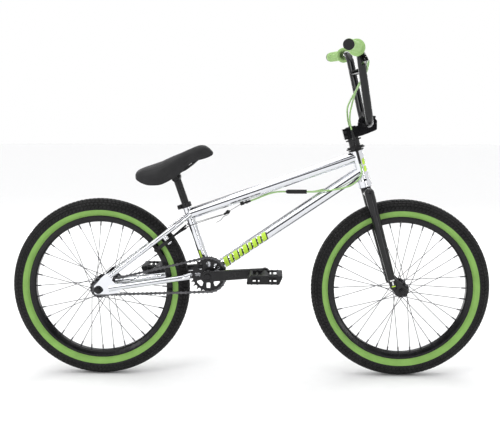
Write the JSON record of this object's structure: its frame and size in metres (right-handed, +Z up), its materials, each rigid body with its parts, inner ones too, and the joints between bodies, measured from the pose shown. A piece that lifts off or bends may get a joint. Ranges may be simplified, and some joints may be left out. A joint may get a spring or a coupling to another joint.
{
  "type": "bmx bike",
  "caption": "Small-wheeled freestyle bike with straight frame tubes, tall handlebar, rotating cable detangler, rear rim brake, single-speed chain drive and platform pedals.",
  "frame": {"origin": "on the ground, midway between the two axles and in the middle plane of the frame", "axes": "+X forward to the front wheel, +Y to the rider's left, +Z up"},
  "size_m": [1.4046, 0.769, 0.9709],
  "materials": {
    "chrome": "polished chrome plate on the frame tubes, gloss",
    "black_paint": "gloss black paint",
    "black_part": "satin black coating on metal parts",
    "black_rim": "black anodised rim with a worn braking edge",
    "chain_steel": "dark oiled steel",
    "black_tyre": "black tread with a green sidewall band",
    "green_rubber": "soft green ribbed rubber",
    "green_housing": "green plastic cable housing",
    "black_plastic": "black moulded plastic",
    "pad_rubber": "black brake rubber",
    "saddle_cover": "black saddle cover",
    "aluminium": "machined aluminium"
  },
  "bodies": {
    "frame": {"head_tube": "chrome", "top_tube": "chrome", "down_tube": "chrome", "seat_tube": "chrome", "bb_shell": "chrome", "chainstays": "chrome", "seatstays": "chrome", "rear_dropouts": "chrome", "brake_bosses": "chrome", "seat_clamp": "black_part", "headset_bearings": "chrome", "bb_bearings": "black_part", "rear_axle": "black_part", "gyro_bottom_plate": "black_part", "cable_joiner": "black_plastic", "brake_housings": "green_housing", "cable_stop": "aluminium", "chain": "chain_steel"},
    "steering": {"steerer": "black_paint", "fork_legs": "black_paint", "fork_dropouts": "black_paint", "front_axle": "black_part", "headset_spacers": "black_part", "stem": "black_paint", "stem_cap": "black_paint", "stem_bolts": "black_part", "handlebar": "black_paint", "crossbar": "black_paint", "grips": "green_rubber", "bar_end_plugs": "black_plastic", "lever_bracket": "black_part", "upper_cables": "green_housing", "gyro_top_plate": "black_part"},
    "front_wheel": {"front_hub": "black_part", "front_rim": "black_rim", "front_spokes": "black_part", "front_tyre": "black_tyre"},
    "rear_wheel": {"rear_hub": "black_part", "rear_rim": "black_rim", "rear_spokes": "black_part", "rear_tyre": "black_tyre"},
    "driver": {"driver_cog": "chain_steel"},
    "crankset": {"crank_spindle": "black_part", "crank_arms": "black_part", "sprocket": "black_part", "pedal_spindles": "black_part"},
    "right_pedal": {"pedal_right": "black_plastic"},
    "left_pedal": {"pedal_left": "black_plastic"},
    "lever": {"brake_lever": "black_part"},
    "right_brake_arm": {"brake_arm_right": "black_part", "brake_pad_right": "pad_rubber"},
    "left_brake_arm": {"brake_arm_left": "black_part", "brake_pad_left": "pad_rubber"},
    "upper_race": {"gyro_upper_race": "aluminium"},
    "lower_race": {"gyro_lower_race": "aluminium"},
    "hanger": {"cable_hanger": "aluminium"},
    "post": {"seat_post": "black_part"},
    "seat": {"rail_cradles": "black_part", "saddle_rails": "black_part", "saddle": "saddle_cover"}
  },
  "joints": [
    {"name": "steering_turn", "type": "hinge", "parent": "frame", "child": "steering", "pos_m": [0.31375, 0, 0.6379], "axis": [-0.2588, 0, 0.9659], "continuous": true},
    {"name": "front_wheel_spin", "type": "hinge", "parent": "steering", "child": "front_wheel", "pos_m": [0.44025, 0, 0.262], "axis": [0, 1, 0], "continuous": true},
    {"name": "rear_wheel_spin", "type": "hinge", "parent": "frame", "child": "rear_wheel", "pos_m": [-0.44025, 0, 0.262], "axis": [0, 1, 0], "continuous": true},
    {"name": "crank_spin", "type": "hinge", "parent": "frame", "child": "crankset", "pos_m": [-0.12093, 0, 0.305], "axis": [0, 1, 0], "continuous": true, "deforming": ["chain"]},
    {"name": "driver_spin", "type": "hinge", "parent": "frame", "child": "driver", "pos_m": [-0.44025, 0, 0.262], "axis": [0, 1, 0], "continuous": true},
    {"name": "right_pedal_spin", "type": "hinge", "parent": "crankset", "child": "right_pedal", "pos_m": [0.04367, 0, 0.31651], "axis": [0, 1, 0], "continuous": true},
    {"name": "left_pedal_spin", "type": "hinge", "parent": "crankset", "child": "left_pedal", "pos_m": [-0.28553, 0, 0.29349], "axis": [0, 1, 0], "continuous": true},
    {"name": "lever_squeeze", "type": "hinge", "parent": "steering", "child": "lever", "pos_m": [0.30555, -0.21478, 0.91886], "axis": [0.837, -0.1851, 0.515], "range_deg": [0, 15], "stiffness_Nm_per_rad": 1.2, "springref_deg": -20.05},
    {"name": "right_brake_arm_swing", "type": "hinge", "parent": "frame", "child": "right_brake_arm", "pos_m": [-0.23963, -0.04, 0.40463], "axis": [-0.6061, 0, 0.7954], "range_deg": [-3, 0]},
    {"name": "left_brake_arm_swing", "type": "hinge", "parent": "frame", "child": "left_brake_arm", "pos_m": [-0.23963, 0.04, 0.40463], "axis": [-0.6061, 0, 0.7954], "range_deg": [0, 3]},
    {"name": "upper_race_lift", "type": "slide", "parent": "steering", "child": "upper_race", "axis": [-0.2588, 0, 0.9659], "range_m": [0, 0.005]},
    {"name": "lower_race_lift", "type": "slide", "parent": "frame", "child": "lower_race", "axis": [-0.2588, 0, 0.9659], "range_m": [0, 0.005]},
    {"name": "hanger_pull", "type": "slide", "parent": "frame", "child": "hanger", "axis": [0.8486, 0, 0.5291], "range_m": [0, 0.0045]},
    {"name": "seat_height", "type": "slide", "parent": "frame", "child": "post", "axis": [-0.3223, 0, 0.9466], "range_m": [-0.04, 0.04]},
    {"name": "seat_tilt", "type": "hinge", "parent": "post", "child": "seat", "pos_m": [-0.21632, 0, 0.58521], "axis": [0, 1, 0], "range_deg": [-12, 12]}
  ],
  "couplings": [
    {"joint": "driver_spin", "follows": "crank_spin", "ratio": 2.7778},
    {"joint": "right_brake_arm_swing", "follows": "lever_squeeze", "ratio": -0.2},
    {"joint": "left_brake_arm_swing", "follows": "lever_squeeze", "ratio": 0.2},
    {"joint": "upper_race_lift", "follows": "lever_squeeze", "m_per_rad": 0.019099},
    {"joint": "lower_race_lift", "follows": "lever_squeeze", "m_per_rad": 0.019099},
    {"joint": "hanger_pull", "follows": "lever_squeeze", "m_per_rad": 0.017189}
  ]
}
